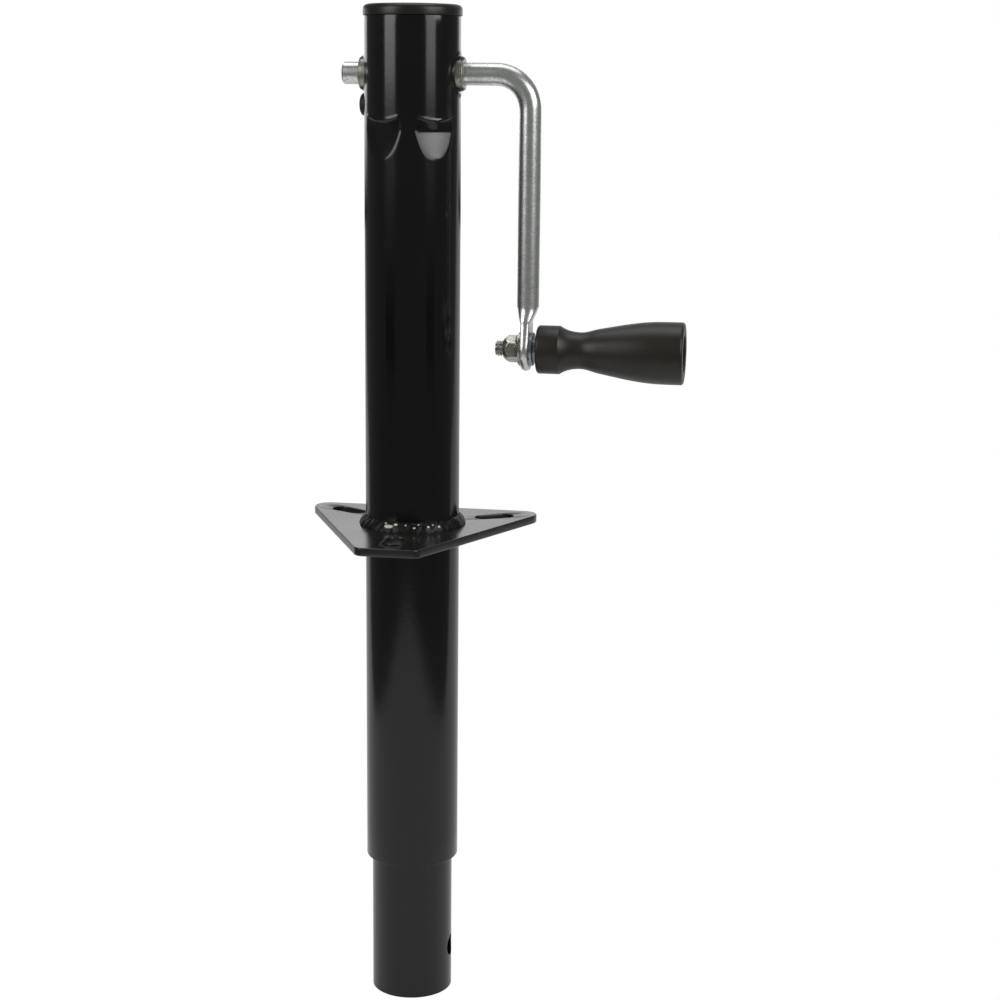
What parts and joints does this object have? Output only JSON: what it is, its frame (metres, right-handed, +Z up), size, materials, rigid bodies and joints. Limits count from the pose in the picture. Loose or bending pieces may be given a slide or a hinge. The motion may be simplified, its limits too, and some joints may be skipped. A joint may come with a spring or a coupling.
{
  "type": "trailer tongue jack",
  "caption": "Side-wind tongue jack: a crank drives bevel gears and a screw that push a drop leg out of a tube with a bolt-on plate.",
  "frame": {"origin": "centre of the mounting plate's underside, on the axis of the tubes", "axes": "+Z up along the tubes, +X along the crank shaft towards its handle, -Y the front, where the plate's single corner points"},
  "size_m": [0.2344, 0.1215, 0.612],
  "materials": {
    "black_paint": "gloss black paint, lightly dusty",
    "cap_black": "gloss black",
    "plug_rubber": "satin black rubber",
    "bushing_zinc": "dull zinc plate",
    "rod_zinc": "zinc plate with a mottled patina",
    "bright_zinc": "bright zinc plate",
    "grip_plastic": "satin black moulded plastic",
    "gear_steel": "greased sintered steel",
    "pin_steel": "spring steel",
    "turned_steel": "turned steel, oiled",
    "screw_steel": "rolled steel thread, greased",
    "weld_steel": "painted plug weld",
    "bearing_steel": "ground bearing steel",
    "ball_steel": "polished steel balls",
    "cage_brass": "pressed brass"
  },
  "bodies": {
    "housing": {"outer_tube": "black_paint", "mount_plate": "black_paint", "plate_weld": "black_paint", "top_cap": "cap_black", "shaft_bushing_left": "bushing_zinc", "shaft_bushing_right": "bushing_zinc", "grease_plug": "plug_rubber", "bearing_seat": "turned_steel", "bearing_upper_race": "bearing_steel"},
    "crank": {"crank_rod": "rod_zinc", "pinion_gear": "gear_steel", "pinion_pin": "pin_steel", "shaft_washer": "pin_steel", "retaining_ring": "pin_steel", "handle_bolt": "bright_zinc", "lock_nut": "bright_zinc", "grip_sleeve": "bright_zinc", "handle_washers": "bright_zinc"},
    "grip": {"handle_grip": "grip_plastic"},
    "screw": {"lead_screw": "screw_steel", "driven_gear": "gear_steel", "gear_pin": "pin_steel", "gear_spacer": "turned_steel", "thrust_collar": "turned_steel", "collar_pin": "pin_steel", "bearing_lower_race": "bearing_steel", "stop_washer": "turned_steel", "stop_pin": "pin_steel"},
    "cage": {"ball_cage": "cage_brass", "bearing_balls": "ball_steel"},
    "leg": {"inner_tube": "black_paint", "drive_nut": "turned_steel", "nut_welds": "weld_steel"}
  },
  "joints": [
    {"name": "crank_turn", "type": "hinge", "parent": "housing", "child": "crank", "pos_m": [0, 0, 0.274], "axis": [-1, 0, 0], "range_deg": [0, 45900]},
    {"name": "grip_spin", "type": "hinge", "parent": "crank", "child": "grip", "pos_m": [0.12, 0, 0.114], "axis": [1, 0, 0], "continuous": true},
    {"name": "screw_spin", "type": "hinge", "parent": "housing", "child": "screw", "pos_m": [0, 0, 0], "axis": [0, 0, 1], "range_deg": [0, 30620]},
    {"name": "cage_spin", "type": "hinge", "parent": "housing", "child": "cage", "pos_m": [0, 0, 0], "axis": [0, 0, 1], "range_deg": [0, 15320]},
    {"name": "leg_slide", "type": "slide", "parent": "housing", "child": "leg", "axis": [0, 0, -1], "range_m": [0, 0.3402]}
  ],
  "couplings": [
    {"joint": "screw_spin", "follows": "crank_turn", "ratio": 0.66667},
    {"joint": "cage_spin", "follows": "crank_turn", "ratio": 0.33333},
    {"joint": "leg_slide", "follows": "crank_turn", "m_per_rad": 0.00042441}
  ]
}
